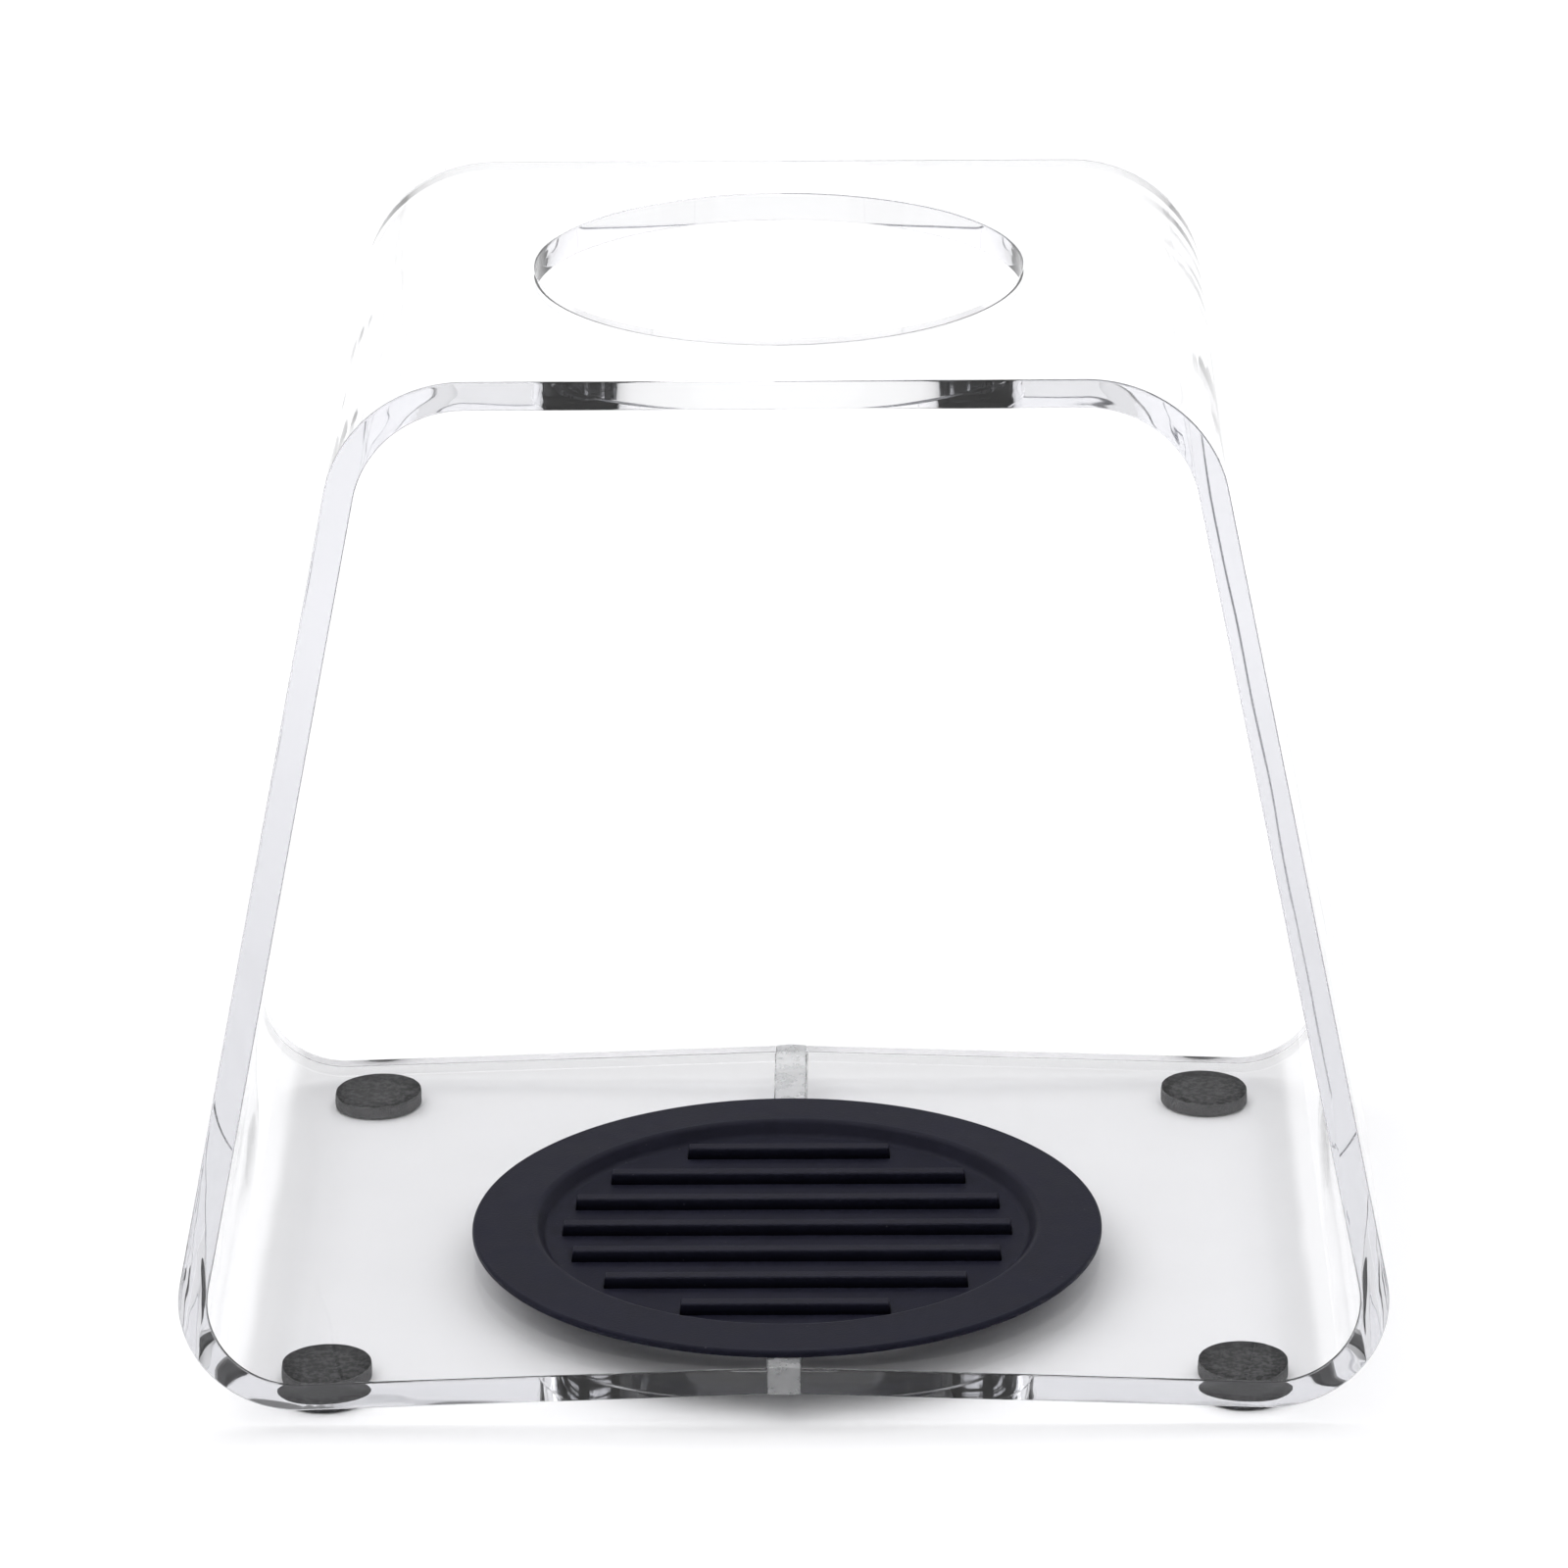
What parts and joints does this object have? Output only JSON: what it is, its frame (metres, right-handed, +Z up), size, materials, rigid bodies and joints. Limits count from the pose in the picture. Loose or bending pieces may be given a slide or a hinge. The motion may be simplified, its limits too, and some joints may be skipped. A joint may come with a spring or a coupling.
{
  "type": "pour-over coffee dripper stand",
  "caption": "Clear acrylic stand for a pour-over coffee dripper: a bent trapezoid loop with a round hole in its top and a lift-out ribbed drip tray in its base.",
  "frame": {"origin": "centre of the bounding box on the floor, under the feet", "axes": "+Z up, +X to the right seen from the front, front towards -Y"},
  "size_m": [0.2068, 0.1501, 0.1894],
  "materials": {
    "clear_acrylic": "clear, polished",
    "seam_bond": "cloudy",
    "black_silicone": "matte",
    "foot_foam": "matte foam",
    "foot_adhesive": "mottled film"
  },
  "bodies": {
    "stand": {"acrylic_frame": "clear_acrylic", "seam_filler_front": "seam_bond", "seam_filler_rear": "seam_bond", "foot_pad_front_left": "foot_foam", "foot_pad_front_right": "foot_foam", "foot_pad_rear_left": "foot_foam", "foot_pad_rear_right": "foot_foam", "foot_adhesive_front_left": "foot_adhesive", "foot_adhesive_front_right": "foot_adhesive", "foot_adhesive_rear_left": "foot_adhesive", "foot_adhesive_rear_right": "foot_adhesive"},
    "tray": {"drip_tray": "black_silicone"}
  },
  "joints": [
    {"name": "tray_lift", "type": "slide", "parent": "stand", "child": "tray", "axis": [0, 0, 1], "range_m": [0, 0.1]}
  ]
}
